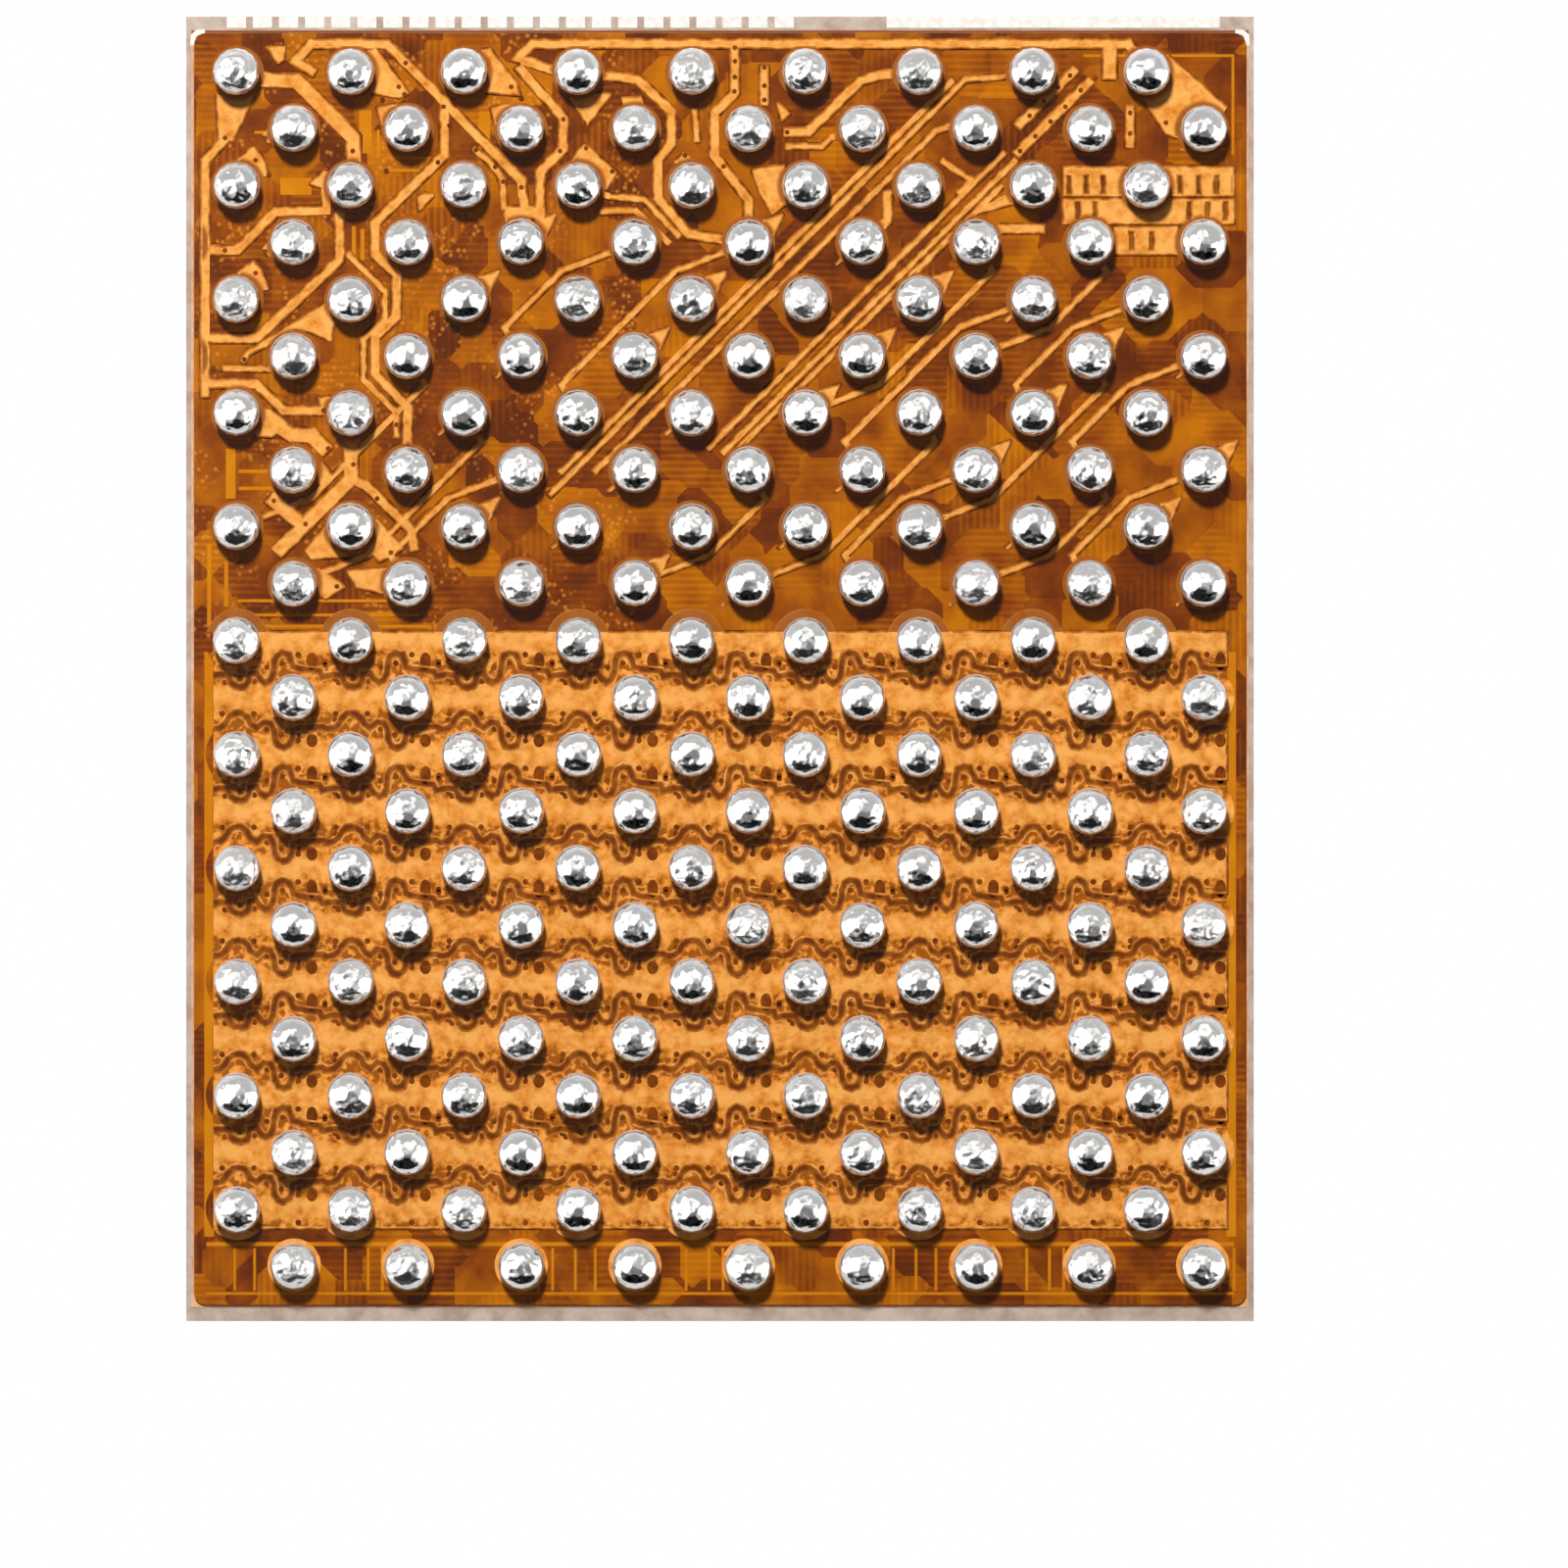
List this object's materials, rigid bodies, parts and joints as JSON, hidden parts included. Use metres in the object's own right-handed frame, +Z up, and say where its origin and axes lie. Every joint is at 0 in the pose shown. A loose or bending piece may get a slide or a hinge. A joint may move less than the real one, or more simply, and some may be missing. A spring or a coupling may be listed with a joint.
{
  "type": "wafer-level ball grid array chip",
  "caption": "Bare-die ball grid array chip: amber polyimide face with copper traces and a staggered grid of solder balls, dark film on its flat back.",
  "frame": {"origin": "centre of the flat back face, on the surface that the chip lies on", "axes": "+Z up out of the ball face, +Y along the long side towards the index corner's end, +X along the short side, with the index corner at -X +Y"},
  "size_m": [0.0054, 0.0066, 0.0005],
  "materials": {
    "film": "matte",
    "silicon": "satin",
    "wiring": "satin",
    "pad_metal": "satin",
    "polyimide": "gloss",
    "copper": "satin",
    "solder": "polished"
  },
  "bodies": {
    "root": {"backside_film": "film", "silicon_die": "silicon", "wiring_stack": "wiring", "seal_ring": "pad_metal", "street_test_pads": "pad_metal", "first_polyimide": "polyimide", "signal_copper": "copper", "supply_copper": "copper", "second_polyimide": "polyimide", "bump_pads": "copper", "solder_balls_row_a": "solder", "solder_balls_row_b": "solder", "solder_balls_row_c": "solder", "solder_balls_row_d": "solder", "solder_balls_row_e": "solder", "solder_balls_row_f": "solder", "solder_balls_row_g": "solder", "solder_balls_row_h": "solder", "solder_balls_row_j": "solder", "solder_balls_row_k": "solder", "solder_balls_row_l": "solder", "solder_balls_row_m": "solder", "solder_balls_row_n": "solder", "solder_balls_row_p": "solder", "solder_balls_row_r": "solder", "solder_balls_row_t": "solder", "solder_balls_row_u": "solder", "solder_balls_row_v": "solder", "solder_balls_row_w": "solder", "solder_balls_row_y": "solder", "solder_balls_row_aa": "solder", "solder_balls_row_ab": "solder"}
  },
  "joints": []
}
